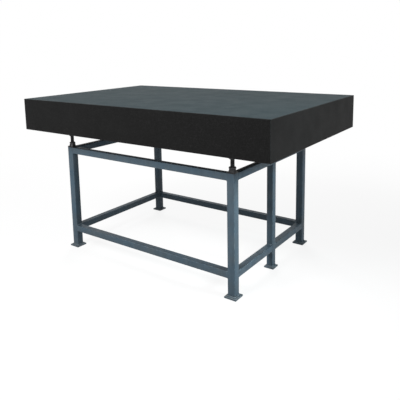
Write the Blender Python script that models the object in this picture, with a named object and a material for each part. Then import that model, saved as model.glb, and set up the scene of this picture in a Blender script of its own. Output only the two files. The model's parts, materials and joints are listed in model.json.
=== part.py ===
"""Granite surface plate on a five-leg welded stand.

A lapped granite slab rests on five screw jacks, and each jack stands on a leg of a frame that is
welded from square tube. Lengths are in metres and +Z is up. The origin is on the floor under the
middle of the slab, +X runs along the slab's long side, and -Y is the side that the user stands at.
Run it with Blender, from the command line or the text editor.
"""

import math

import bmesh
import bpy
from mathutils import Matrix, Vector

# The granite slab.
PLATE_LENGTH = 1.600
PLATE_WIDTH = 1.000
PLATE_THICKNESS = 0.180
PLATE_ARRIS = 0.002  # ground bevel along each edge

# Overall heights.
WORK_HEIGHT = 0.880  # floor to the lapped face
JACK_HEIGHT = 0.100  # top of the frame to the underside of the slab

# The stand.
LEG_INSET_X = 0.255  # from the slab's end face to the middle of a leg
LEG_INSET_Y = 0.125  # from the slab's long face to the middle of a leg
LEG_SIDE = 0.040
LEG_WALL = 0.003
RAIL_STEP = 0.005  # a rail is this much narrower than a leg, all of it on the inside
RAIL_WALL = 0.0025
TUBE_CORNER_SHARE = 1.25  # outside corner radius of a tube, in walls
LOWER_RAIL_CLEARANCE = 0.095  # floor to the underside of the lower rails
FOOT_SIDE = 0.065
MIDDLE_FOOT_SIDE = 0.055  # the middle leg is cut from the rails' tube and has a smaller foot
FOOT_THICKNESS = 0.008
FOOT_ARRIS = 0.001

# Weld beads. Each one is fused to the smaller of the two pieces that it joins.
BEAD_LEG = 0.005
BEAD_ROOT = 0.0008  # how far a bead runs into its own piece
BEAD_CROWN_SHARE = 0.62  # the bead's middle stands this far out on both sides, in bead legs
GROOVE_DEPTH = 0.0003  # a weld that is ground flush stays this far below the tube's face
RAIL_FIT_UP = 0.001  # between a rail's cut end and the leg, bridged by the weld
STEP_WELD_ANGLE = math.radians(45)  # how far a weld onto a wider leg goes round the leg's corner

# The leg cap, a square plate that carries a flared bush with the jack's thread in it.
CAP_THICKNESS = 0.006
BUSH_HEIGHT = 0.012
BUSH_WALL = 0.005  # at the bush's top, outside the bore
BUSH_SETBACK = 0.0012  # from the leg's side in to the bush's flared foot
BORE_CHAMFER = 0.001

# The jack screw and its lock nut, with the hexagons in the usual proportion to the thread.
THREAD_DIAMETER = 0.020
SCREW_TAIL = 0.045  # threaded end below the leg's top
SCREW_POINT = 0.002  # chamfer on the threaded end
HEX_FLATS_SHARE = 1.5  # across flats, in thread diameters
HEX_FACE_SHARE = 0.95  # flat round face of a hexagon, in widths across flats
HEX_CHAMFER_ANGLE = math.radians(30)
NUT_HEIGHT_SHARE = 0.5  # thin nut, in thread diameters
COLLAR_HEIGHT_SHARE = 0.55
NECK_SHARE = 0.6
BALL_SHARE = 0.9

# The swivel pad.
PAD_DIAMETER = 0.050
PAD_THICKNESS = 0.010
PAD_ARRIS = 0.001
PAD_BOSS_HEIGHT = 0.009
PAD_BOSS_WALL = 0.0045
BALL_CAPTURE = 0.003  # the pad's rim reaches this far below the ball's middle
COLLAR_CLEARANCE = 0.005  # under the pad's rim, so that the pad can swivel

# Fits.
SEAT_GAP = 0.0003  # between pieces that touch
THREAD_GAP = 0.0003  # round a thread, on the radius
OVERRUN = 0.002  # how far a cutter reaches past what it cuts
MERGE_DISTANCE = 0.000001

# Facets.
CORNER_STEPS = 3
FILLET_FACETS = 2  # a fillet goes round this many facets of a rail's inner corner
TURNED_STEPS = 24
BALL_STEPS = 5

# What follows from the sizes above.
LEG_SPACING_X = PLATE_LENGTH - 2 * LEG_INSET_X
LEG_SPACING_Y = PLATE_WIDTH - 2 * LEG_INSET_Y
FRAME_TOP = WORK_HEIGHT - PLATE_THICKNESS - JACK_HEIGHT
FRAME_REACH_X = (LEG_SPACING_X + LEG_SIDE) / 2
FRAME_REACH_Y = (LEG_SPACING_Y + LEG_SIDE) / 2
RAIL_SIDE = LEG_SIDE - RAIL_STEP
RAIL_CORNER = RAIL_WALL * TUBE_CORNER_SHARE
THREAD_RADIUS = THREAD_DIAMETER / 2
BORE_RADIUS = THREAD_RADIUS + THREAD_GAP
HEX_FLATS = THREAD_DIAMETER * HEX_FLATS_SHARE
HEX_CORNER_RADIUS = HEX_FLATS / 2 / math.cos(math.pi / 6)
BALL_RADIUS = THREAD_RADIUS * BALL_SHARE
NECK_RADIUS = THREAD_RADIUS * NECK_SHARE
SOCKET_RADIUS = BALL_RADIUS + SEAT_GAP

# Heights of the jack's pieces above the leg's top.
CAP_TOP = SEAT_GAP + CAP_THICKNESS
BUSH_TOP = CAP_TOP + BUSH_HEIGHT
NUT_BOTTOM = BUSH_TOP + SEAT_GAP
NUT_TOP = NUT_BOTTOM + THREAD_DIAMETER * NUT_HEIGHT_SHARE
PAD_TOP = JACK_HEIGHT - SEAT_GAP
PAD_FLANGE_BOTTOM = PAD_TOP - PAD_THICKNESS
PAD_BOTTOM = PAD_FLANGE_BOTTOM - PAD_BOSS_HEIGHT
BALL_HEIGHT = PAD_BOTTOM + BALL_CAPTURE
COLLAR_TOP = PAD_BOTTOM - COLLAR_CLEARANCE
COLLAR_BOTTOM = COLLAR_TOP - THREAD_DIAMETER * COLLAR_HEIGHT_SHARE

UP = Vector((0, 0, 1))
SHARP_ANGLE = math.radians(35)

# Places of the legs, as shares of the frame's reach from its middle.
POST_SHARES = {
    "front_left": (-1, -1),
    "rear_left": (-1, 1),
    "front_right": (1, -1),
    "rear_right": (1, 1),
    "right_middle": (1, 0),
}
MIDDLE_POST = "right_middle"

# Each rail by its name and the posts that it joins, anticlockwise round the frame as seen from above.
RAIL_RUNS = (
    ("front", "front_left", "front_right"),
    ("right_front", "front_right", "right_middle"),
    ("right_rear", "right_middle", "rear_right"),
    ("rear", "rear_right", "rear_left"),
    ("left", "rear_left", "front_left"),
)


def clear_scene():
    for old in list(bpy.data.objects):
        bpy.data.objects.remove(old, do_unlink=True)


def make_material(name, colour, roughness, metallic):
    material = bpy.data.materials.new(name)
    material.use_nodes = True
    shader = material.node_tree.nodes["Principled BSDF"]
    shader.inputs["Base Color"].default_value = (*colour, 1.0)
    shader.inputs["Roughness"].default_value = roughness
    shader.inputs["Metallic"].default_value = metallic
    return material


def finish_mesh(bm, name, material):
    """Turns the faces outwards, shades round stretches smooth and hands back the mesh."""
    bmesh.ops.recalc_face_normals(bm, faces=bm.faces)
    mesh = bpy.data.meshes.new(name)
    bm.to_mesh(mesh)
    bm.free()
    return dress_mesh(mesh, material)


def dress_mesh(mesh, material):
    mesh.materials.clear()
    mesh.materials.append(material)
    mesh.shade_smooth()
    mesh.set_sharp_from_angle(angle=SHARP_ANGLE)
    return mesh


def place(name, mesh, location):
    piece = bpy.data.objects.new(name, mesh)
    piece.location = location
    bpy.context.scene.collection.objects.link(piece)
    return piece


def leg_size(post):
    """The side, wall and outside corner radius of a post's tube."""
    side, wall = (RAIL_SIDE, RAIL_WALL) if post == MIDDLE_POST else (LEG_SIDE, LEG_WALL)
    return side, wall, wall * TUBE_CORNER_SHARE


def flush_place(post, side, height):
    """The middle of a square tube at a post, with its outer faces flush with the frame's."""
    share_x, share_y = POST_SHARES[post]
    return Vector(
        (share_x * (FRAME_REACH_X - side / 2), share_y * (FRAME_REACH_Y - side / 2), height)
    )


def post_place(post, height):
    return flush_place(post, leg_size(post)[0], height)


def beveled_block(length, width, height, arris):
    """A block standing on z = 0 with every edge taken off."""
    bm = bmesh.new()
    bmesh.ops.create_cube(bm, size=1)
    bmesh.ops.scale(bm, vec=(length, width, height), verts=bm.verts)
    bmesh.ops.translate(bm, vec=(0, 0, height / 2), verts=bm.verts)
    bmesh.ops.bevel(bm, geom=bm.edges[:], offset=arris, segments=1, affect="EDGES")
    return bm


def rounded_square(side, radius):
    """Points and outward normals round a square with round corners, anticlockwise."""
    reach = side / 2 - radius
    outline = []
    for quarter in range(4):
        turn = Matrix.Rotation(math.radians(90) * quarter, 2)
        for step in range(CORNER_STEPS + 1):
            angle = math.radians(90) * (step / CORNER_STEPS - 1)
            normal = Vector((math.cos(angle), math.sin(angle)))
            corner = Vector((reach, -reach))
            outline.append((turn @ (corner + normal * radius), turn @ normal))
    return outline


def tube(side, wall, length):
    """A length of square tube along +Z, open at both ends."""
    radius = wall * TUBE_CORNER_SHARE
    bm = bmesh.new()
    outlines = (rounded_square(side, radius), rounded_square(side - 2 * wall, radius - wall))
    outer, inner = ([bm.verts.new((*point, 0)) for point, _ in outline] for outline in outlines)
    ends = [
        bm.faces.new((outer[at - 1], outer[at], inner[at], inner[at - 1]))
        for at in range(len(outer))
    ]
    push(bm, ends, length)
    return bm


def push(bm, faces, height):
    """Extrudes flat faces up +Z into a solid."""
    pushed = bmesh.ops.extrude_face_region(bm, geom=faces)
    moved = [item for item in pushed["geom"] if isinstance(item, bmesh.types.BMVert)]
    bmesh.ops.translate(bm, verts=moved, vec=(0, 0, height))


def turned(profile, closed):
    """Spins points of radius and height about Z.

    A closed profile makes a ring, and an open one starts and ends on the axis.
    """
    bm = bmesh.new()
    verts = [bm.verts.new((radius, 0, height)) for radius, height in profile]
    nexts = verts[1:] + verts[:1] if closed else verts[1:]
    edges = [bm.edges.new(pair) for pair in zip(verts, nexts)]
    bmesh.ops.spin(
        bm,
        geom=verts + edges,
        cent=(0, 0, 0),
        axis=UP,
        angle=2 * math.pi,
        steps=TURNED_STEPS,
    )
    bmesh.ops.remove_doubles(bm, verts=bm.verts, dist=MERGE_DISTANCE)
    return bm


def helper(bm, name):
    """An object that only lends its shape to a Boolean."""
    bmesh.ops.recalc_face_normals(bm, faces=bm.faces)
    mesh = bpy.data.meshes.new(name)
    bm.to_mesh(mesh)
    bm.free()
    shape = place(name, mesh, (0, 0, 0))
    shape.hide_render = True
    shape.display_type = "WIRE"
    return shape


def combined(name, base, steps, material):
    """Runs Boolean steps on the base, takes the result as a mesh and clears the helpers away."""
    for operation, tool in steps:
        step = base.modifiers.new(operation.title(), "BOOLEAN")
        step.operation = operation
        step.object = tool
    graph = bpy.context.evaluated_depsgraph_get()
    mesh = bpy.data.meshes.new_from_object(base.evaluated_get(graph))
    mesh.name = name
    for shape in [base, *(tool for _, tool in steps)]:
        bpy.data.objects.remove(shape, do_unlink=True)
    return dress_mesh(mesh, material)


def hexagon(bottom, top):
    bm = bmesh.new()
    bmesh.ops.create_cone(
        bm,
        cap_ends=True,
        segments=6,
        radius1=HEX_CORNER_RADIUS,
        radius2=HEX_CORNER_RADIUS,
        depth=top - bottom,
    )
    bmesh.ops.translate(bm, vec=(0, 0, (bottom + top) / 2), verts=bm.verts)
    return helper(bm, "hexagon")


def hexagon_envelope(bottom, top):
    """The turned outline that takes the corners off a hexagon between two heights, bottom first."""
    face = HEX_FLATS / 2 * HEX_FACE_SHARE
    rim = HEX_CORNER_RADIUS + SEAT_GAP
    drop = (rim - face) * math.tan(HEX_CHAMFER_ANGLE)
    return [(face, bottom), (rim, bottom + drop), (rim, top - drop), (face, top)]


def bored(outline, bottom, top):
    """Closes a turned outline, given from its foot up, round a bore with both mouths chamfered."""
    mouth = BORE_RADIUS + BORE_CHAMFER
    bore = [
        (mouth, top),
        (BORE_RADIUS, top - BORE_CHAMFER),
        (BORE_RADIUS, bottom + BORE_CHAMFER),
        (mouth, bottom),
    ]
    return outline + bore


def plate_mesh(material):
    bm = beveled_block(PLATE_LENGTH, PLATE_WIDTH, PLATE_THICKNESS, PLATE_ARRIS)
    return finish_mesh(bm, "granite_plate", material)


def foot_mesh(post, material):
    """A square plate with the weld bead that runs round the leg's foot."""
    foot_side = MIDDLE_FOOT_SIDE if post == MIDDLE_POST else FOOT_SIDE
    plate = helper(beveled_block(foot_side, foot_side, FOOT_THICKNESS, FOOT_ARRIS), "foot_block")
    bead = bmesh.new()
    leg_side, _, leg_corner = leg_size(post)
    outline = rounded_square(leg_side, leg_corner)
    sweep_bead(bead, outline, True, Matrix.Translation((0, 0, FOOT_THICKNESS)), SEAT_GAP, -BEAD_ROOT)
    return combined("foot_plate", plate, (("UNION", helper(bead, "foot_bead")),), material)


def cap_mesh(post, material):
    """A square plate with a flared bush on it and one bore through both."""
    bm = bmesh.new()
    leg_side, _, leg_corner = leg_size(post)
    outline = rounded_square(leg_side, leg_corner)
    push(bm, [bm.faces.new([bm.verts.new((*point, SEAT_GAP)) for point, _ in outline])], CAP_THICKNESS)
    square = helper(bm, "cap_square")
    rim = BORE_RADIUS + BUSH_WALL
    foot = leg_side / 2 - BUSH_SETBACK
    root = CAP_TOP - CAP_THICKNESS / 2
    flare = [(0, root), (foot, root), (foot, CAP_TOP), (rim, BUSH_TOP), (0, BUSH_TOP)]
    bush = helper(turned(flare, False), "cap_bush")
    start = SEAT_GAP - OVERRUN
    stop = BUSH_TOP + OVERRUN
    hole = [(0, start), (BORE_RADIUS, start), (BORE_RADIUS, stop), (0, stop)]
    bore = helper(turned(hole, False), "cap_bore")
    return combined("leg_cap", square, (("UNION", bush), ("DIFFERENCE", bore)), material)


def nut_mesh(material):
    """A thin hexagon nut, chamfered on both faces."""
    profile = bored(hexagon_envelope(NUT_BOTTOM, NUT_TOP), NUT_BOTTOM, NUT_TOP)
    ring = helper(turned(profile, True), "nut_ring")
    hexagonal = hexagon(NUT_BOTTOM - OVERRUN, NUT_TOP + OVERRUN)
    return combined("lock_nut", ring, (("INTERSECT", hexagonal),), material)


def ball_arc(radius, lowest):
    """Points of a ball's outline from a height below its middle up to its top."""
    start = math.asin((lowest - BALL_HEIGHT) / radius)
    arc = []
    for step in range(BALL_STEPS):
        angle = start + (math.pi / 2 - start) * step / BALL_STEPS
        arc.append((radius * math.cos(angle), BALL_HEIGHT + radius * math.sin(angle)))
    return arc + [(0, BALL_HEIGHT + radius)]


def screw_mesh(material):
    """The threaded shank with its hexagon collar, neck and ball end."""
    neck_meets_ball = BALL_HEIGHT - math.sqrt(BALL_RADIUS**2 - NECK_RADIUS**2)
    profile = [
        (0, -SCREW_TAIL),
        (THREAD_RADIUS - SCREW_POINT, -SCREW_TAIL),
        (THREAD_RADIUS, -SCREW_TAIL + SCREW_POINT),
        (THREAD_RADIUS, (COLLAR_BOTTOM + COLLAR_TOP) / 2),
        (NECK_RADIUS, (COLLAR_BOTTOM + COLLAR_TOP) / 2),
    ]
    shank = helper(turned(profile + ball_arc(BALL_RADIUS, neck_meets_ball), False), "screw_shank")
    envelope = [(0, COLLAR_BOTTOM), *hexagon_envelope(COLLAR_BOTTOM, COLLAR_TOP), (0, COLLAR_TOP)]
    collar = helper(turned(envelope, False), "screw_collar")
    flats = hexagon(COLLAR_BOTTOM - OVERRUN, COLLAR_TOP + OVERRUN)
    collar_mesh = combined("screw_collar", collar, (("INTERSECT", flats),), material)
    hexagonal = place("screw_hexagon", collar_mesh, (0, 0, 0))
    return combined("jack_screw", shank, (("UNION", hexagonal),), material)


def pad_mesh(material):
    """A round pad whose boss closes round the screw's ball."""
    rim = PAD_DIAMETER / 2
    boss = SOCKET_RADIUS + PAD_BOSS_WALL
    outside = [
        (0, PAD_TOP),
        (rim - PAD_ARRIS, PAD_TOP),
        (rim, PAD_TOP - PAD_ARRIS),
        (rim, PAD_FLANGE_BOTTOM + PAD_ARRIS),
        (rim - PAD_ARRIS, PAD_FLANGE_BOTTOM),
        (boss, PAD_FLANGE_BOTTOM),
        (boss, PAD_BOTTOM + PAD_ARRIS),
        (boss - PAD_ARRIS, PAD_BOTTOM),
    ]
    socket = ball_arc(SOCKET_RADIUS, PAD_BOTTOM)
    return finish_mesh(turned(outside + socket, False), "swivel_pad", material)


def sweep_bead(bm, path, closed, frame, root_out, root_along):
    """A weld bead in the corner between a wall and the plane z = 0.

    The path gives points on the wall, each with its outward normal.
    """
    crown = BEAD_LEG * BEAD_CROWN_SHARE
    section = (
        (root_out, root_along),
        (BEAD_LEG, root_along),
        (crown, crown),
        (root_out, BEAD_LEG),
    )
    rings = []
    for point, normal in path:
        spots = [(*(point + normal * out), along) for out, along in section]
        rings.append([bm.verts.new(frame @ Vector(spot)) for spot in spots])
    nexts = rings[1:] + rings[:1] if closed else rings[1:]
    for ring, following in zip(rings, nexts):
        for at in range(len(section)):
            bm.faces.new((ring[at - 1], ring[at], following[at], following[at - 1]))
    if not closed:
        bm.faces.new(rings[0])
        bm.faces.new(rings[-1])


def corner_arc(corner_x, leg_corner, start, stop):
    """Points just clear of a leg's round corner, at angles from the rail's direction."""
    radius = leg_corner + SEAT_GAP
    arc = []
    for step in range(CORNER_STEPS + 1):
        angle = start + (stop - start) * step / CORNER_STEPS
        arc.append((corner_x + radius * math.sin(angle), radius * math.cos(angle) - leg_corner))
    return arc


def flush_weld(leg_corner):
    """The outline of a weld that fills the groove at a leg's round corner, ground flush."""
    flush = RAIL_SIDE / 2 - GROOVE_DEPTH
    corner_x = RAIL_SIDE / 2 - leg_corner
    start = math.asin((flush - corner_x) / (leg_corner + SEAT_GAP))
    inside = RAIL_FIT_UP + BEAD_ROOT
    return [(flush, inside), *corner_arc(corner_x, leg_corner, start, 0), (corner_x, inside)]


def step_weld(leg_corner):
    """The outline of a weld from a rail's side onto the round corner of a wider leg."""
    root = RAIL_SIDE / 2 - BEAD_ROOT
    corner_x = RAIL_SIDE / 2 + RAIL_STEP - leg_corner
    crown = BEAD_LEG * BEAD_CROWN_SHARE
    outline = [(root, BEAD_LEG), (root, SEAT_GAP)]
    outline += corner_arc(corner_x, leg_corner, 0, STEP_WELD_ANGLE)
    return [*outline, (RAIL_SIDE / 2 + crown, crown)]


def side_weld(bm, frame, outline, side):
    """Runs a weld's outline up one side of a rail: +1 is the inner side and -1 the outer."""
    half = RAIL_SIDE / 2 - RAIL_CORNER - BEAD_ROOT
    levels = [
        [bm.verts.new(frame @ Vector((side * across, height, along))) for across, along in outline]
        for height in (-half, half)
    ]
    for at in range(len(outline)):
        bm.faces.new((levels[0][at - 1], levels[0][at], levels[1][at], levels[1][at - 1]))
    for level in levels:
        bm.faces.new(level)


def fillet_path(leg_corner, stepped):
    """Under a rail, between the leg's round corners, and at a wider leg round the inner corner.

    Its points keep off the tube's own edges, so that the Boolean meets no faces that coincide.
    """
    half = RAIL_SIDE / 2
    down = Vector((0, -1))
    path = [
        (Vector((leg_corner + BEAD_ROOT - half, -half)), down),
        (Vector((half - RAIL_CORNER - BEAD_ROOT, -half)), down),
    ]
    if stepped:
        outline = rounded_square(RAIL_SIDE, RAIL_CORNER)
        for before, after in zip(outline[:FILLET_FACETS], outline[1:]):
            path.append(((before[0] + after[0]) / 2, (before[1] + after[1]).normalized()))
    return path


def rail_welds(bm, frame, post, over_top):
    """The welds at one end of a rail, in the end's own axes."""
    leg_side, _, leg_corner = leg_size(post)
    stepped = leg_side > RAIL_SIDE
    path = fillet_path(leg_corner, stepped)
    sweep_bead(bm, path, False, frame, -BEAD_ROOT, SEAT_GAP)
    if over_top:
        flip = Matrix.Diagonal((1, -1))
        above = [(flip @ point, flip @ normal) for point, normal in path]
        sweep_bead(bm, above, False, frame, -BEAD_ROOT, SEAT_GAP)
    side_weld(bm, frame, flush_weld(leg_corner), -1)
    side_weld(bm, frame, step_weld(leg_corner) if stepped else flush_weld(leg_corner), 1)


def rail_mesh(name, length, posts, over_top, material):
    """A rail along +Z from its start, with the welds at both ends.

    In its own axes +X points to the inside of the frame, and +Y is up.
    """
    welds = bmesh.new()
    start = Matrix.Translation((0, 0, -RAIL_FIT_UP))
    stop = Matrix.Translation((0, 0, length + RAIL_FIT_UP)) @ Matrix.Diagonal((1, 1, -1, 1))
    for frame, post in zip((start, stop), posts):
        rail_welds(welds, frame, post, over_top)
    base = helper(tube(RAIL_SIDE, RAIL_WALL, length), "rail_tube")
    return combined(name, base, (("UNION", helper(welds, "rail_welds")),), material)


def leg_reach(post):
    """From the rails' middle line at a post to the leg's face, along the rail."""
    side = leg_size(post)[0]
    return side / 2 if post == MIDDLE_POST else side - RAIL_SIDE / 2


def build_rails(prefix, height, over_top, paint):
    for label, start, stop in RAIL_RUNS:
        begin, finish = (flush_place(post, RAIL_SIDE, height) for post in (start, stop))
        along = (finish - begin).normalized()
        inward = UP.cross(along)
        gaps = leg_reach(start) + leg_reach(stop) + 2 * RAIL_FIT_UP
        name = f"{prefix}_{label}"
        mesh = rail_mesh(name, (finish - begin).length - gaps, (start, stop), over_top, paint)
        rail = place(name, mesh, (0, 0, 0))
        axes = Matrix((inward, UP, along)).transposed().to_4x4()
        origin = begin + along * (leg_reach(start) + RAIL_FIT_UP)
        rail.matrix_world = Matrix.Translation(origin) @ axes


def build_posts(paint):
    leg_bottom = FOOT_THICKNESS + SEAT_GAP
    for post in POST_SHARES:
        side, wall, _ = leg_size(post)
        leg = finish_mesh(tube(side, wall, FRAME_TOP - leg_bottom), f"leg_{post}", paint)
        place(f"leg_{post}", leg, post_place(post, leg_bottom))
        place(f"foot_plate_{post}", foot_mesh(post, paint), post_place(post, 0))


def build_jacks(steel):
    """Each jack's pieces share one origin, on the screw's axis at the leg's top."""
    meshes = {
        "lock_nut": nut_mesh(steel),
        "jack_screw": screw_mesh(steel),
        "swivel_pad": pad_mesh(steel),
    }
    for post in POST_SHARES:
        place(f"leg_cap_{post}", cap_mesh(post, steel), post_place(post, FRAME_TOP))
        for piece, mesh in meshes.items():
            place(f"{piece}_{post}", mesh, post_place(post, FRAME_TOP))


def main():
    clear_scene()
    granite = make_material("black_granite", (0.022, 0.024, 0.025), roughness=0.32, metallic=0.0)
    paint = make_material("blue_grey_paint", (0.095, 0.125, 0.155), roughness=0.45, metallic=0.0)
    steel = make_material("blackened_steel", (0.030, 0.031, 0.033), roughness=0.45, metallic=0.85)
    place("granite_plate", plate_mesh(granite), (0, 0, WORK_HEIGHT - PLATE_THICKNESS))
    build_posts(paint)
    build_rails("top_rail", FRAME_TOP - RAIL_SIDE / 2, False, paint)
    build_rails("lower_rail", LOWER_RAIL_CLEARANCE + RAIL_SIDE / 2, True, paint)
    build_jacks(steel)


main()
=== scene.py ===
"""The looks of the granite surface plate on its welded stand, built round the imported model.

The slab, the tubes and the foot plates keep their solids and get procedural finishes. The jack
screws are replaced by screws with a real thread, and every weld gets a rippled bead over the plain
one. Lengths are in metres and +Z is up.
"""

import json
import math

import bmesh
import bpy
from mathutils import Matrix, Vector, noise

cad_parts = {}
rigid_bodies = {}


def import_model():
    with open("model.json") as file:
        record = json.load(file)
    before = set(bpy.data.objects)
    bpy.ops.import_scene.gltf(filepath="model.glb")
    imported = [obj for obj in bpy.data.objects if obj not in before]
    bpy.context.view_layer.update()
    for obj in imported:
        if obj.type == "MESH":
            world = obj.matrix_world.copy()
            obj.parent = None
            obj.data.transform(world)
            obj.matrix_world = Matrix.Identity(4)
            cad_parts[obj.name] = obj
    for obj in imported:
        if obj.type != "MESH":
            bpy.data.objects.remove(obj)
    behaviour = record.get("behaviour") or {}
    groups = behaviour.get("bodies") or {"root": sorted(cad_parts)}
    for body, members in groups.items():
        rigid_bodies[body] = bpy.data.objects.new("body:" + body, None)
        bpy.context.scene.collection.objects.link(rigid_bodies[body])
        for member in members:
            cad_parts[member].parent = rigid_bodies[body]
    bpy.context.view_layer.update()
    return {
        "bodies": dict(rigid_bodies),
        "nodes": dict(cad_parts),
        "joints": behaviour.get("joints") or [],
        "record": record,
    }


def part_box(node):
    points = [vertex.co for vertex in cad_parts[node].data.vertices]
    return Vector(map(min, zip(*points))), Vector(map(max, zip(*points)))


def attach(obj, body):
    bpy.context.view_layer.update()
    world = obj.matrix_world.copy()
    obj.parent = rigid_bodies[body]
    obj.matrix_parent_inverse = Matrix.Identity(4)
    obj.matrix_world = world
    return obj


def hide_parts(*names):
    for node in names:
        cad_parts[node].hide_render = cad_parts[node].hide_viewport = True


# The camera, from a fit to the corners of the slab and the edges of the stand in the photograph.
IMAGE_SIDE = 400  # pixels
FOCAL_LENGTH = 478.87  # pixels
OPTICAL_CENTRE_ROW = 120  # pixels, above the middle because the photograph's uprights are parallel
CAMERA_PLACE = Vector((1.6515, -2.1566, 1.1722))
CAMERA_TURN = math.radians(35.729)  # from +Y towards -X
CAMERA_PITCH = math.radians(8.9245)  # downwards
CAMERA_ROLL = math.radians(-1.0412)
SENSOR_SIDE = 36.0  # millimetres

# Sizes that the weld beads and the screws follow, as the solids have them.
RAIL_SIDE = 0.035
RAIL_CORNER = 0.003125
LEG_SIDE = 0.040
LEG_CORNER = 0.00375
FOOT_THICKNESS = 0.008
THREAD_RADIUS = 0.010
THREAD_PITCH = 0.0025
THREAD_DEPTH = 0.0014
COLLAR_FLATS = 0.030
COLLAR_HEIGHT = 0.011
COLLAR_CLEARANCE = 0.005  # from the collar to the pad
NECK_RADIUS = 0.006
BALL_RADIUS = 0.009
BALL_CAPTURE = 0.003  # the ball's middle is this far inside the pad's rim
HEX_FACE_SHARE = 0.95
HEX_CHAMFER_SLOPE = math.tan(math.radians(30))
SCREW_POINT = 0.002

# How finely a screw is drawn, and the shape of its thread.
SCREW_SIDES = 48
THREAD_STEPS = 10  # rings for each pitch
THREAD_ROOT_SHARE = 0.2  # of half a pitch, flat at the root
THREAD_FLANK_SHARE = 0.62  # of half a pitch, from the root to the crest
THREAD_SHARP_ANGLE = math.radians(28)
COLLAR_RINGS = (0.0, 0.06, 0.12, 0.2, 0.5, 0.8, 0.88, 0.94, 1.0)  # shares of the collar's height
BALL_RINGS = 12

SPLIT_GAP = 0.00002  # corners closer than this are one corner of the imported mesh
SHARP_ANGLE = math.radians(32)

# The rippled weld beads.
BEAD_LEG = 0.0055
BEAD_CROWN_SHARE = 0.68
BEAD_RIPPLE = 0.0028  # from one ripple to the next
BEAD_RIPPLE_HEIGHT = 0.0003
BEAD_RIPPLE_LEAN = 0.7  # how far a ripple's middle trails behind its ends, in ripples
BEAD_RIPPLE_SHAPE = 0.6  # under 1 the ripples are broad and the dips between them sharp
BEAD_UNEVENNESS = 0.07  # how much a bead's size wanders
BEAD_WANDER_LENGTH = 0.011
BEAD_ROOT = 0.0004
BEAD_STEP = 0.0005
BEAD_SECTION_STEPS = 6
BEAD_TAPER = 0.006
BEAD_END_SHARE = 0.35  # the size that a bead tapers to
BEAD_CAD_LEG = 0.005  # a lower rail's box ends at the top of its own plain bead
COVER_CROWN = 0.0006
COVER_ON_RAIL = 0.0026
COVER_ON_LEG = 0.0042
COVER_WRAP = 0.002  # how far a cover weld runs on past the leg's rounded corner
WRAP_SHARE = 0.85  # a fillet reaches round a leg's corner up to this share of its radius

# The light: a dim white world and soft boxes, each by its place, target, side, power, colour and
# beam, and whether gloss shows it.
WORLD_LEVEL = 0.26
WHITE = (1.0, 1.0, 1.0)
COOL_WHITE = (0.88, 1.0, 1.03)
OPEN = 180  # degrees
SOFT_BOXES = (
    ("front_box", Vector((-0.3, -2.6, 2.6)), Vector((0.0, -0.4, 0.4)), 1.2, 95.0, WHITE, OPEN, True),
    ("right_box", Vector((3.0, 0.1, 2.0)), Vector((0.56, -0.62, 0.40)), 1.0, 8.1, COOL_WHITE, 40, False),
    ("back_box", Vector((-2.2, 2.8, 2.2)), Vector((-0.2, 0.3, 0.4)), 1.6, 90.0, WHITE, OPEN, False),
)

# The floor glows white to the eye, less so round the object, where its shadow shows.
FLOOR_GLOW = 0.86
FADE_START = 1.3
FADE_END = 3.2
FLOOR_REACH = 30.0
FLOOR_DROP = 0.0006  # below the feet, so that their undersides don't lie in the floor
FLOOR_TONE = 0.95
FLOOR_BOUNCE_TONE = 0.35  # darker for the light that the floor throws back

POSTS = {
    "front_left": (-1, -1),
    "rear_left": (-1, 1),
    "front_right": (1, -1),
    "rear_right": (1, 1),
    "right_middle": (1, 0),
}
MIDDLE_POST = "right_middle"  # its leg is cut from the rails' tube
RAIL_RUNS = (
    ("front", "front_left", "front_right"),
    ("right_front", "front_right", "right_middle"),
    ("right_rear", "right_middle", "rear_right"),
    ("rear", "rear_right", "rear_left"),
    ("left", "rear_left", "front_left"),
)
SCREW_BODIES = {
    "front_left": "main_screw_front_left",
    "rear_left": "main_screw_rear_left",
    "front_right": "auxiliary_screw_front_right",
    "rear_right": "auxiliary_screw_rear_right",
    "right_middle": "main_screw_right_middle",
}
UP = Vector((0, 0, 1))


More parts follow.
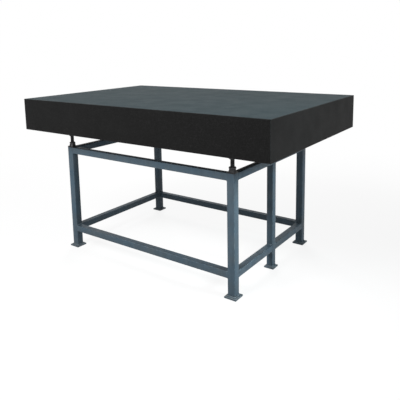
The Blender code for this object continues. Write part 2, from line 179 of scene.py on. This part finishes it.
class Finish:
    """A procedural material, built node by node round its Principled shader."""

    def __init__(self, name, specular, metallic=0.0):
        self.material = bpy.data.materials.new(name)
        self.material.use_nodes = True
        self.tree = self.material.node_tree
        self.shader = self.tree.nodes["Principled BSDF"]
        self.set("Specular IOR Level", specular)
        self.set("Metallic", metallic)
        self.coordinates = self.node("TexCoord").outputs
        self.place = self.coordinates["Object"]

    def set(self, socket, value):
        """Sets or links one input of the Principled shader."""
        self.feed(self.shader.inputs[socket], value)

    def feed(self, socket, value):
        if isinstance(value, bpy.types.NodeSocket):
            self.tree.links.new(value, socket)
        else:
            socket.default_value = value

    def node(self, kind, inputs=None, **settings):
        made = self.tree.nodes.new("ShaderNode" + kind)
        for name, value in settings.items():
            setattr(made, name, value)
        for socket, value in (inputs or {}).items():
            self.feed(made.inputs[socket], value)
        return made

    def math(self, operation, first, second=0.0, third=0.0):
        inputs = {0: first, 1: second, 2: third}
        return self.node("Math", inputs, operation=operation).outputs[0]

    def turned(self, place, turn, scale):
        """Coordinates turned and then stretched."""
        inputs = {"Vector": place, "Rotation": turn, "Scale": scale}
        return self.node("Mapping", inputs).outputs[0]

    def stretched(self, scale):
        """The object's own coordinates, stretched."""
        return self.turned(self.place, (0, 0, 0), scale)

    def noise(self, size, detail=3.0, roughness=0.55, place=None):
        """Smooth noise from 0 to 1, with features of the given size."""
        inputs = {
            "Vector": place or self.place,
            "Scale": 1 / size,
            "Detail": detail,
            "Roughness": roughness,
        }
        return self.node("TexNoise", inputs).outputs["Fac"]

    def cells(self, size, place=None):
        """A random level from 0 to 1 for each crystal of the given size."""
        inputs = {"Vector": place or self.place, "Scale": 1 / size}
        colour = self.node("TexVoronoi", inputs).outputs["Color"]
        return self.node("SeparateColor", {0: colour}).outputs[0]

    def span(self, value, low, high, new_low=0.0, new_high=1.0):
        """Stretches the stretch from low to high over a new one, and clamps it."""
        inputs = {0: value, 1: low, 2: high, 3: new_low, 4: new_high}
        return self.node("MapRange", inputs).outputs[0]

    def mix(self, factor, first, second, blend="MIX"):
        """Mixes two colours."""
        inputs = {0: factor, 6: first, 7: second}
        made = self.node("Mix", inputs, data_type="RGBA", blend_type=blend)
        return made.outputs[2]

    def ramp(self, value, stops):
        """Grey levels for stretches of a value, from stops of position and level."""
        made = self.node("ValToRGB", {0: value})
        elements = made.color_ramp.elements
        while len(elements) < len(stops):
            elements.new(1.0)
        for element, (position, level) in zip(elements, stops):
            element.position = position
            element.color = (level, level, level, 1.0)
        return made.outputs[0]

    def edges(self):
        """1 on bevels and rounded corners, 0 on faces square to the object's axes."""
        sides = self.node("SeparateXYZ", {0: self.coordinates["Normal"]}).outputs
        across = [self.math("ABSOLUTE", side) for side in sides]
        flattest = self.math("MAXIMUM", self.math("MAXIMUM", across[0], across[1]), across[2])
        return self.span(flattest, 0.94, 0.78)

    def bump(self, *layers):
        """Stacks bumps, each given as its height field and its depth in metres."""
        normal = None
        for height, depth in layers:
            inputs = {"Height": height, "Distance": depth, "Strength": 1.0}
            if normal is not None:
                inputs["Normal"] = normal
            normal = self.node("Bump", inputs).outputs[0]
        self.set("Normal", normal)


def colour(red, green, blue):
    return (red, green, blue, 1.0)


def granite_finish():
    """Fine black granite: interlocked crystals and feldspar laths, lapped on top, ground at the sides."""
    finish = Finish("black_granite", specular=0.1)
    ragged = finish.math("MULTIPLY", finish.math("SUBTRACT", finish.noise(0.0009, 2.0), 0.5), 0.0009)
    place = finish.node("VectorMath", {0: finish.place, 1: ragged}, operation="ADD").outputs[0]
    grains = finish.cells(0.0010, place)
    ground = finish.ramp(grains, ((0.0, 0.0015), (0.5, 0.0035), (0.85, 0.006), (1.0, 0.009)))
    laths = finish.cells(0.0023, finish.turned(place, (0.5, 0.9, 0.3), (1.0, 3.4, 1.8)))
    laths = finish.ramp(laths, ((0.0, 0.0), (0.88, 0.0), (0.91, 0.009), (1.0, 0.024)))
    others = finish.cells(0.0019, finish.turned(place, (1.2, 0.2, 1.9), (1.0, 3.0, 2.1)))
    others = finish.ramp(others, ((0.0, 0.0), (0.9, 0.0), (0.93, 0.007), (1.0, 0.02)))
    crystals = finish.mix(1.0, finish.mix(1.0, ground, laths, "LIGHTEN"), others, "LIGHTEN")
    clouds = finish.span(finish.noise(0.16, 4.0), 0.3, 0.7, 0.85, 1.15)
    tone = finish.mix(1.0, crystals, clouds, "MULTIPLY")
    upward = finish.node("SeparateXYZ", {0: finish.coordinates["Normal"]}).outputs[2]
    lapped = finish.span(upward, 0.8, 0.95)
    # Painted reflection: a faint blue-green added to the colour of the lapped top, standing in for the
    # cool light it mirrors.
    painted_reflection_tint = finish.mix(1.0, tone, colour(0.0, 0.002, 0.003), "ADD")
    tone = finish.mix(lapped, tone, painted_reflection_tint)
    finish.set("Sheen Weight", finish.math("MULTIPLY", lapped, 0.022))
    finish.set("Sheen Tint", colour(0.0, 0.75, 1.0))
    bruise = finish.math("MULTIPLY", finish.edges(), finish.span(finish.noise(0.006, 5.0), 0.3, 0.65))
    bruised = colour(0.030, 0.032, 0.033)
    finish.set("Base Color", finish.mix(bruise, tone, bruised))
    smears = finish.span(finish.noise(0.09, 5.0), 0.35, 0.7, -0.02, 0.04)
    grain = finish.span(grains, 0.0, 1.0, -0.04, 0.04)
    base = finish.math("MULTIPLY_ADD", lapped, -0.05, 0.61)
    finish.set("Roughness", finish.math("ADD", finish.math("ADD", base, smears), grain))
    strokes = finish.noise(0.0016, 2.0, place=finish.stretched((0.06, 0.06, 1.0)))
    sides_only = finish.math("SUBTRACT", 1.0, lapped)
    finish.bump(
        (grains, 0.000012),
        (finish.math("MULTIPLY", strokes, sides_only), 0.00005),
    )
    return finish.material


def paint_finish():
    """Blue-grey enamel brushed over mill-finish tube: worn edges and dusty feet, with painted shade low
    down and on the rails' top faces.
    """
    finish = Finish("blue_grey_enamel", specular=0.2)
    clouds = finish.span(finish.noise(0.11, detail=5.0, roughness=0.6), 0.32, 0.68)
    blue = colour(0.064, 0.108, 0.148)
    grey = colour(0.084, 0.112, 0.134)
    tone = finish.mix(clouds, blue, grey)
    runs = finish.noise(0.02, detail=4.0, place=finish.stretched((1.0, 1.0, 0.25)))
    depth = finish.span(runs, 0.3, 0.7, 0.88, 1.1)
    tone = finish.mix(1.0, tone, depth, "MULTIPLY")
    height = finish.node("SeparateXYZ", {0: finish.place}).outputs[2]
    upward = finish.node("SeparateXYZ", {0: finish.coordinates["Normal"]}).outputs[2]
    # Painted shade: the colour darkens towards the floor, standing in for the weaker light low down.
    painted_low_shade = finish.span(height, 0.0, 0.32, 0.8, 1.0)
    tone = finish.mix(1.0, tone, painted_low_shade, "MULTIPLY")
    level = finish.span(upward, 0.6, 0.95)
    patchy = finish.span(finish.noise(0.012, detail=6.0), 0.35, 0.7, 0.3, 1.0)
    low_down = finish.span(height, 0.03, 0.01)
    dust = finish.math("MULTIPLY", finish.math("MULTIPLY", level, low_down), patchy)
    pale = colour(0.17, 0.175, 0.17)
    tone = finish.mix(dust, tone, pale)
    # Painted shade: a dark patchy tone on upward faces above the feet, growing towards the top rails,
    # standing in for the slab's shadow over them.
    shade_patchiness = finish.span(finish.noise(0.05, detail=5.0), 0.3, 0.7, 0.75, 1.15)
    painted_top_shade = finish.math("MULTIPLY", finish.span(height, 0.03, 0.6, 0.4, 0.68), shade_patchiness)
    high_up = finish.math("SUBTRACT", 1.0, low_down)
    painted_top_shade = finish.math("MULTIPLY", finish.math("MULTIPLY", level, painted_top_shade), high_up)
    painted_shade_tone = colour(0.018, 0.02, 0.022)
    tone = finish.mix(painted_top_shade, tone, painted_shade_tone)
    patches = finish.span(finish.noise(0.016, detail=6.0, roughness=0.65), 0.46, 0.6)
    worn = finish.math("MULTIPLY", finish.math("MULTIPLY", finish.edges(), patches), 0.75)
    rubbed = colour(0.17, 0.20, 0.22)
    tone = finish.mix(worn, tone, rubbed)
    chips = finish.span(finish.noise(0.0038, detail=3.0, roughness=0.7), 0.72, 0.74)
    bare = colour(0.028, 0.026, 0.025)
    tone = finish.mix(finish.math("MULTIPLY", chips, 0.7), tone, bare)
    finish.set("Base Color", tone)
    gloss = finish.span(finish.noise(0.03, detail=4.0), 0.3, 0.7, 0.42, 0.54)
    finish.set("Roughness", finish.math("MULTIPLY_ADD", dust, 0.5, gloss))
    finish.bump(
        (finish.noise(0.0042, detail=2.0), 0.00022),
        (finish.noise(0.0009, detail=2.0), 0.00003),
        (finish.math("MULTIPLY", chips, -1.0), 0.00008),
    )
    return finish.material


def steel_finish():
    """Oil-blackened steel, rubbed brighter along its edges and on the crests of the threads."""
    finish = Finish("oil_blackened_steel", specular=0.4, metallic=0.75)
    clouds = finish.span(finish.noise(0.008, detail=5.0), 0.3, 0.7)
    dark = colour(0.018, 0.019, 0.021)
    light = colour(0.042, 0.041, 0.040)
    bright = colour(0.12, 0.12, 0.125)
    tone = finish.mix(clouds, dark, light)
    crest = finish.node("Attribute", attribute_name="crest").outputs["Fac"]
    rub = finish.span(finish.noise(0.004, detail=3.0), 0.3, 0.7)
    rubbed = finish.math("MULTIPLY", finish.math("MAXIMUM", crest, finish.edges()), rub)
    finish.set("Base Color", finish.mix(rubbed, tone, bright))
    finish.set("Roughness", finish.span(finish.noise(0.005, detail=4.0), 0.3, 0.7, 0.38, 0.55))
    turning = finish.noise(0.0004, detail=1.0, place=finish.stretched((0.02, 0.02, 1.0)))
    finish.bump((turning, 0.00003), (finish.noise(0.0012, detail=3.0), 0.00002))
    return finish.material


def piece_from(name, points, faces, material):
    """A smooth-shaded mesh object from points in the row frame."""
    mesh = bpy.data.meshes.new(name)
    mesh.from_pydata([tuple(point) for point in points], [], faces)
    turner = bmesh.new()
    turner.from_mesh(mesh)
    bmesh.ops.recalc_face_normals(turner, faces=turner.faces)
    turner.to_mesh(mesh)
    turner.free()
    mesh.shade_smooth()
    mesh.materials.append(material)
    piece = bpy.data.objects.new(name, mesh)
    bpy.context.scene.collection.objects.link(piece)
    return piece


def skin(rings, closed_along, closed_round):
    """Quads between rings of points, with flat ends where the rings don't close on themselves."""
    count = len(rings[0])
    points = [point for ring in rings for point in ring]
    faces = []
    last = len(rings) if closed_along else len(rings) - 1
    around = count if closed_round else count - 1
    for at in range(last):
        here = at * count
        there = (at + 1) % len(rings) * count
        for side in range(around):
            after = (side + 1) % count
            faces.append((here + side, here + after, there + after, there + side))
    if not closed_along:
        faces.append(tuple(range(count))[::-1])
        faces.append(tuple(range(len(points) - count, len(points))))
    return points, faces


def thread_share(turn, height):
    """How far a right-hand thread stands out at one angle and height, from 0 at its root to 1."""
    phase = (height / THREAD_PITCH - turn / (2 * math.pi)) % 1.0
    slope = abs(2 * phase - 1)
    return min(1.0, max(0.0, (slope - THREAD_ROOT_SHARE) / THREAD_FLANK_SHARE))


def screw_profile(post, middle):
    """Rings of the jack screw from its tail to the top of its ball, with how worn each point is."""
    pad_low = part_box("swivel_pad_" + post)[0].z
    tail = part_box("jack_screw_" + post)[0].z
    collar_top = pad_low - COLLAR_CLEARANCE
    collar_low = collar_top - COLLAR_HEIGHT
    ball_middle = pad_low + BALL_CAPTURE
    neck_end = ball_middle - math.sqrt(BALL_RADIUS**2 - NECK_RADIUS**2)
    rings = []
    crests = []

    def ring(height, radius_at, crest_at=lambda turn: 0.0):
        points = []
        for step in range(SCREW_SIDES):
            turn = 2 * math.pi * step / SCREW_SIDES
            radius = radius_at(turn)
            x = middle.x + radius * math.cos(turn)
            y = middle.y + radius * math.sin(turn)
            points.append(Vector((x, y, height)))
            crests.append(crest_at(turn))
        rings.append(points)

    steps = round((collar_low - tail) / THREAD_PITCH * THREAD_STEPS)
    for step in range(steps + 1):
        height = tail + (collar_low - tail) * step / steps
        point = min(1.0, (height - tail) / SCREW_POINT)
        run_out = min(1.0, max(0.0, (collar_low - height) / THREAD_PITCH))

        def radius_at(turn):
            depth = THREAD_DEPTH * run_out * (1 - thread_share(turn, height))
            return min(THREAD_RADIUS - depth, THREAD_RADIUS - (1 - point) * SCREW_POINT)

        ring(height, radius_at, lambda turn: thread_share(turn, height) * point)
    face = COLLAR_FLATS / 2 * HEX_FACE_SHARE
    for share in COLLAR_RINGS:
        height = collar_low + COLLAR_HEIGHT * share
        from_end = min(height - collar_low, collar_top - height)
        limit = face + from_end / HEX_CHAMFER_SLOPE

        def hexagon_at(turn):
            across = (turn + math.pi / 6) % (math.pi / 3) - math.pi / 6
            return min(limit, COLLAR_FLATS / 2 / math.cos(across))

        ring(height, hexagon_at)
    ring(collar_top, lambda turn: NECK_RADIUS)
    ring(neck_end, lambda turn: NECK_RADIUS)
    start = math.asin((neck_end - ball_middle) / BALL_RADIUS)
    for step in range(1, BALL_RINGS):
        angle = start + (math.pi / 2 - start) * step / BALL_RINGS
        radius = BALL_RADIUS * math.cos(angle)
        ring(ball_middle + BALL_RADIUS * math.sin(angle), lambda turn: radius)
    return rings, crests


def threaded_screw(post, material):
    """Replaces a plain jack screw by one with its thread cut."""
    low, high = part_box("leg_" + post)
    middle = (low + high) / 2
    rings, crests = screw_profile(post, middle)
    points, faces = skin(rings, closed_along=False, closed_round=True)
    screw = piece_from("threaded_screw_" + post, points, faces, material)
    crest = screw.data.attributes.new("crest", "FLOAT", "POINT")
    crest.data.foreach_set("value", crests)
    screw.data.set_sharp_from_angle(angle=THREAD_SHARP_ANGLE)
    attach(screw, SCREW_BODIES[post])
    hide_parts("jack_screw_" + post)
    return screw


def rounded_square(side, radius, steps=6):
    """Points and outward normals round a square with round corners, anticlockwise."""
    reach = side / 2 - radius
    outline = []
    for quarter in range(4):
        turn = Matrix.Rotation(math.radians(90) * quarter, 2)
        for step in range(steps + 1):
            angle = math.radians(90) * (step / steps - 1)
            normal = Vector((math.cos(angle), math.sin(angle)))
            outline.append((turn @ (Vector((reach, -reach)) + normal * radius), turn @ normal))
    return outline


def evenly_spaced(path, closed):
    """Walks along a path of points and normals in even steps."""
    legs = list(zip(path, path[1:] + path[:1] if closed else path[1:]))
    lengths = [(after[0] - before[0]).length for before, after in legs]
    total = sum(lengths)
    count = round(total / BEAD_STEP)
    spots = []
    leg = 0
    walked = 0.0
    for step in range(count if closed else count + 1):
        along = total * step / count
        while leg < len(legs) - 1 and along > walked + lengths[leg]:
            walked += lengths[leg]
            leg += 1
        share = (along - walked) / lengths[leg] if lengths[leg] else 0.0
        (point, normal), (next_point, next_normal) = legs[leg]
        spot_normal = normal.lerp(next_normal, share).normalized()
        spots.append((along, point.lerp(next_point, share), spot_normal))
    return spots, total


def ripple_at(share_along, lean, ripples):
    """How high the nearest ripple stands, from 0 to 1, with each ripple's tail drawn out."""
    phase = (share_along * ripples + BEAD_RIPPLE_LEAN * lean) % 1.0
    return math.sin(math.pi * phase) ** BEAD_RIPPLE_SHAPE


def fillet_section(size, share_along, ripples):
    """A corner weld's outline as distances out from the wall and up from the plane."""
    control = size * (2 * BEAD_CROWN_SHARE - 0.5)
    face = []
    for step in range(BEAD_SECTION_STEPS + 1):
        share = step / BEAD_SECTION_STEPS
        bulge = 2 * share * (1 - share)
        ripple = BEAD_RIPPLE_HEIGHT * ripple_at(share_along, bulge, ripples)
        swell = bulge * (control + 2 * ripple)
        face.append((size * (1 - share) ** 2 + swell, size * share**2 + swell))
    return [(-BEAD_ROOT, -BEAD_ROOT), (face[0][0], -BEAD_ROOT), *face, (-BEAD_ROOT, face[-1][1])]


def cover_section(size, share_along, ripples):
    """A butt weld's outline: a low crown over the groove at the leg's rounded corner."""
    spread = size / BEAD_LEG
    face = []
    for step in range(BEAD_SECTION_STEPS + 1):
        share = step / BEAD_SECTION_STEPS
        bulge = 2 * share * (1 - share)
        ripple = BEAD_RIPPLE_HEIGHT * ripple_at(share_along, bulge, ripples)
        crown = 2 * bulge * (COVER_CROWN * spread + ripple)
        face.append((crown, spread * (COVER_ON_RAIL * (1 - share) - COVER_ON_LEG * share)))
    return [*face, (-BEAD_ROOT, face[-1][1]), (-BEAD_ROOT, face[0][1])][::-1]


def weld_bead(name, path, closed, frame, seed, material, section_at=fillet_section, flat_end=None):
    """A rippled bead along a path in the plane z = 0 of its own frame.

    Where the leg's face ends in a round corner, flat_end is the place on +X at which it starts.
    """
    spots, total = evenly_spaced(path, closed)
    ripples = max(1, round(total / BEAD_RIPPLE))
    rings = []
    for along, point, normal in spots:
        wander = noise.noise(Vector((along / BEAD_WANDER_LENGTH, seed, 0.0)))
        size = BEAD_LEG * (1 + BEAD_UNEVENNESS * wander)
        if not closed:
            end = min(along, total - along)
            size *= BEAD_END_SHARE + (1 - BEAD_END_SHARE) * math.sqrt(min(1.0, end / BEAD_TAPER))
        section = section_at(size, along / total, ripples)
        if flat_end is not None:
            section = wrapped(section, point, normal, size, flat_end)
        rings.append([frame @ Vector((*(point + normal * out), up)) for out, up in section])
    points, faces = skin(rings, closed_along=closed, closed_round=True)
    bead = piece_from(name, points, faces, material)
    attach(bead, "stand")
    return bead


def wrapped(section, point, normal, size, flat_end):
    """Bends a fillet's toe down round the leg's corner, and shortens it to stay on the corner."""
    limit = flat_end + WRAP_SHARE * LEG_CORNER
    reach = max(out for out, _ in section)
    squeeze = min(1.0, (limit - point.x) / (normal.x * reach)) if normal.x > 0 else 1.0
    bent = []
    for out, up in section:
        spot = out * squeeze if out > 0 else out
        past = min(max(0.0, point.x + normal.x * spot - flat_end), limit - flat_end)
        drop = LEG_CORNER - math.sqrt(LEG_CORNER**2 - past**2)
        bent.append((spot, up - drop * min(1.0, max(0.0, 1 - up / size))))
    return bent


def leg_place(post):
    """The middle of a leg at the floor, its side and its corner radius."""
    low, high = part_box("leg_" + post)
    corner = RAIL_CORNER if post == MIDDLE_POST else LEG_CORNER
    return Vector(((low.x + high.x) / 2, (low.y + high.y) / 2, 0)), high.x - low.x, corner


def foot_welds(material):
    for seed, post in enumerate(POSTS):
        middle, side, corner = leg_place(post)
        frame = Matrix.Translation(middle + UP * FOOT_THICKNESS)
        weld_bead(f"foot_weld_{post}", rounded_square(side, corner), True, frame, seed, material)


def flipped(path, x_sign, y_sign):
    """Mirrors a path of points and normals."""
    flip = Matrix.Diagonal((x_sign, y_sign))
    return [(flip @ point, flip @ normal) for point, normal in path]


def stepped_fillet_path(over_top):
    """Under a rail, up its inner side and, on a lower rail, over its top."""
    outline = rounded_square(RAIL_SIDE, RAIL_CORNER)
    corner = len(outline) // 4
    lead = Vector((LEG_CORNER - RAIL_SIDE / 2, -RAIL_SIDE / 2))
    path = [(lead, Vector((0, -1)))] + outline[:corner]
    if over_top:
        end = Vector((lead.x, -lead.y))
        return path + outline[corner : 2 * corner] + [(end, Vector((0, 1)))]
    return path + [outline[corner]]


def cover_path(leg_corner, over_top):
    """Down a rail's outer side, from its top or from just over its top to just under it."""
    outline = rounded_square(RAIL_SIDE, RAIL_CORNER)
    corner = len(outline) // 4
    reach = leg_corner + COVER_WRAP - RAIL_SIDE / 2
    over = [(Vector((reach, RAIL_SIDE / 2)), Vector((0, 1)))] + outline[2 * corner : 3 * corner]
    under = outline[3 * corner :] + [(Vector((reach, -RAIL_SIDE / 2)), Vector((0, -1)))]
    return over + under if over_top else over[1:] + under


def joint_welds(name, frame, post, over_top, seed, material):
    """All the beads where one end of a rail meets a leg, each uneven in its own way."""
    leg_corner = leg_place(post)[2]
    outer = cover_path(leg_corner, over_top)
    weld_bead(f"{name}_cover", outer, False, frame, seed + 10, material, cover_section)
    if post != MIDDLE_POST:
        flat_end = LEG_SIDE - RAIL_SIDE / 2 - LEG_CORNER
        path = stepped_fillet_path(over_top)
        weld_bead(f"{name}_weld", path, False, frame, seed, material, flat_end=flat_end)
        return
    inner = flipped(outer, -1, 1)
    weld_bead(f"{name}_inner_cover", inner, False, frame, seed + 20, material, cover_section)
    half = RAIL_SIDE / 2
    down = Vector((0, -1))
    under = [(Vector((leg_corner - half, -half)), down), (Vector((half - leg_corner, -half)), down)]
    weld_bead(f"{name}_under_weld", under, False, frame, seed, material)
    if over_top:
        over = flipped(under, 1, -1)
        weld_bead(f"{name}_over_weld", over, False, frame, seed + 30, material)


def rail_welds(prefix, over_top, material):
    if over_top:
        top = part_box(prefix + "_front")[1].z - BEAD_CAD_LEG
    else:
        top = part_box("leg_front_left")[1].z
    for seed, (label, start, stop) in enumerate(RAIL_RUNS):
        along = (Vector(POSTS[stop]) - Vector(POSTS[start])).normalized().to_3d()
        inward = UP.cross(along)
        for end, post, away in (("start", start, along), ("end", stop, -along)):
            middle, side, _ = leg_place(post)
            face = middle + away * side / 2 - inward * (side - RAIL_SIDE) / 2
            axes = Matrix((inward, UP, away)).transposed().to_4x4()
            frame = Matrix.Translation(face + UP * (top - RAIL_SIDE / 2)) @ axes
            joint_welds(f"{prefix}_{label}_{end}", frame, post, over_top, seed, material)


def build_stage():
    """A white floor and background that keep a soft shadow, and light no brighter than needed."""
    floor_mesh = bpy.data.meshes.new("floor")
    signs = ((-1, -1), (1, -1), (1, 1), (-1, 1))
    corners = [(x * FLOOR_REACH, y * FLOOR_REACH, -FLOOR_DROP) for x, y in signs]
    floor_mesh.from_pydata(corners, [], [(0, 1, 2, 3)])
    floor = bpy.data.objects.new("floor", floor_mesh)
    bpy.context.scene.collection.objects.link(floor)
    material = bpy.data.materials.new("pale_floor")
    material.use_nodes = True
    tree = material.node_tree
    tree.nodes.remove(tree.nodes["Principled BSDF"])
    seen = seen_directly(tree)
    diffuse = tree.nodes.new("ShaderNodeBsdfDiffuse")
    shade = tree.nodes.new("ShaderNodeMix")
    shade.data_type = "RGBA"
    for socket, level in ((6, FLOOR_BOUNCE_TONE), (7, FLOOR_TONE)):
        shade.inputs[socket].default_value = colour(level, level, level)
    tree.links.new(seen, shade.inputs[0])
    tree.links.new(shade.outputs[2], diffuse.inputs[0])
    glow = tree.nodes.new("ShaderNodeEmission")
    place = tree.nodes.new("ShaderNodeTexCoord")
    distance = tree.nodes.new("ShaderNodeVectorMath")
    distance.operation = "LENGTH"
    tree.links.new(place.outputs["Object"], distance.inputs[0])
    fade = tree.nodes.new("ShaderNodeMapRange")
    fade.interpolation_type = "SMOOTHSTEP"
    tree.links.new(distance.outputs["Value"], fade.inputs[0])
    for socket, value in zip(fade.inputs[1:5], (FADE_START, FADE_END, FLOOR_GLOW, 1.0)):
        socket.default_value = value
    lift = tree.nodes.new("ShaderNodeMath")
    lift.operation = "MULTIPLY"
    tree.links.new(fade.outputs[0], lift.inputs[1])
    tree.links.new(seen, lift.inputs[0])
    blend = tree.nodes.new("ShaderNodeMixShader")
    tree.links.new(lift.outputs[0], blend.inputs[0])
    tree.links.new(diffuse.outputs[0], blend.inputs[1])
    tree.links.new(glow.outputs[0], blend.inputs[2])
    tree.links.new(blend.outputs[0], tree.nodes["Material Output"].inputs[0])
    floor_mesh.materials.append(material)


def seen_directly(tree):
    """1 for rays that show the background itself: to the camera, in gloss and through glass."""
    path = tree.nodes.new("ShaderNodeLightPath")
    total = path.outputs["Is Camera Ray"]
    for kind in ("Is Glossy Ray", "Is Transmission Ray"):
        either = tree.nodes.new("ShaderNodeMath")
        either.operation = "MAXIMUM"
        tree.links.new(total, either.inputs[0])
        tree.links.new(path.outputs[kind], either.inputs[1])
        total = either.outputs[0]
    return total


def build_light():
    world = bpy.data.worlds.new("studio")
    bpy.context.scene.world = world
    world.use_nodes = True
    tree = world.node_tree
    seen = seen_directly(tree)
    level = tree.nodes.new("ShaderNodeMapRange")
    level.inputs[3].default_value = WORLD_LEVEL
    level.inputs[4].default_value = 1.0
    tree.links.new(seen, level.inputs[0])
    tree.nodes["Background"].inputs["Color"].default_value = colour(1.0, 1.0, 1.0)
    tree.links.new(level.outputs[0], tree.nodes["Background"].inputs["Strength"])
    for name, place, target, size, watts, tint, beam, in_gloss in SOFT_BOXES:
        light = bpy.data.lights.new(name, "AREA")
        light.shape = "SQUARE"
        light.size = size
        light.energy = watts
        light.color = tint
        light.spread = math.radians(beam)
        lamp = bpy.data.objects.new(name, light)
        bpy.context.scene.collection.objects.link(lamp)
        lamp.location = place
        lamp.visible_glossy = in_gloss
        lamp.rotation_mode = "QUATERNION"
        lamp.rotation_quaternion = (Vector(target) - lamp.location).to_track_quat("-Z", "Y")


def build_camera():
    camera = bpy.data.cameras.new("camera")
    camera.sensor_width = SENSOR_SIDE
    camera.lens = FOCAL_LENGTH / IMAGE_SIDE * SENSOR_SIDE
    camera.shift_y = OPTICAL_CENTRE_ROW / IMAGE_SIDE - 0.5
    holder = bpy.data.objects.new("camera", camera)
    bpy.context.scene.collection.objects.link(holder)
    level_forward = Vector((-math.sin(CAMERA_TURN), math.cos(CAMERA_TURN), 0))
    forward = level_forward * math.cos(CAMERA_PITCH) - UP * math.sin(CAMERA_PITCH)
    right = Vector((math.cos(CAMERA_TURN), math.sin(CAMERA_TURN), 0))
    above = right.cross(forward)
    rolled_right = right * math.cos(CAMERA_ROLL) + above * math.sin(CAMERA_ROLL)
    rolled_above = rolled_right.cross(forward)
    axes = Matrix((rolled_right, rolled_above, -forward)).transposed().to_4x4()
    holder.matrix_world = Matrix.Translation(CAMERA_PLACE) @ axes
    bpy.context.scene.camera = holder


def smoothing_group():
    """Geometry nodes that join a node's split corners and shade it smooth up to a sharp angle."""
    group = bpy.data.node_groups.new("smooth_by_angle", "GeometryNodeTree")
    group.interface.new_socket("Geometry", in_out="INPUT", socket_type="NodeSocketGeometry")
    group.interface.new_socket("Geometry", in_out="OUTPUT", socket_type="NodeSocketGeometry")
    start = group.nodes.new("NodeGroupInput")
    weld = group.nodes.new("GeometryNodeMergeByDistance")
    weld.inputs["Distance"].default_value = SPLIT_GAP
    clear = group.nodes.new("GeometryNodeRemoveAttribute")
    clear.inputs["Name"].default_value = "custom_normal"
    smooth = group.nodes.new("GeometryNodeSetShadeSmooth")
    smooth.domain = "FACE"
    angle = group.nodes.new("GeometryNodeInputMeshEdgeAngle")
    steep = group.nodes.new("FunctionNodeCompare")
    steep.data_type = "FLOAT"
    steep.operation = "GREATER_THAN"
    steep.inputs["B"].default_value = SHARP_ANGLE
    sharp = group.nodes.new("GeometryNodeSetShadeSmooth")
    sharp.domain = "EDGE"
    sharp.inputs["Shade Smooth"].default_value = False
    end = group.nodes.new("NodeGroupOutput")
    group.links.new(angle.outputs["Unsigned Angle"], steep.inputs["A"])
    group.links.new(steep.outputs["Result"], sharp.inputs["Selection"])
    chain = (start, weld, clear, smooth, sharp, end)
    for before, after in zip(chain, chain[1:]):
        group.links.new(before.outputs["Geometry"], after.inputs["Geometry"])
    return group


def dress_nodes(nodes, finishes):
    """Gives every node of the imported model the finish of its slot, and smooth round surfaces."""
    smoothing = smoothing_group()
    slots = {entry["node"]: entry["material_slot"] for entry in frame["record"]["subparts"]}
    for name, node in nodes.items():
        node.data.materials.clear()
        node.data.materials.append(finishes[slots[name]])
        node.modifiers.new("smooth_by_angle", "NODES").node_group = smoothing


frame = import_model()

FINISHES = {
    "granite": granite_finish(),
    "frame_paint": paint_finish(),
    "black_steel": steel_finish(),
}
dress_nodes(frame["nodes"], FINISHES)
for post in POSTS:
    threaded_screw(post, FINISHES["black_steel"])
foot_welds(FINISHES["frame_paint"])
rail_welds("top_rail", False, FINISHES["frame_paint"])
rail_welds("lower_rail", True, FINISHES["frame_paint"])
build_stage()
build_light()
build_camera()
bpy.context.scene.view_settings.view_transform = "Standard"
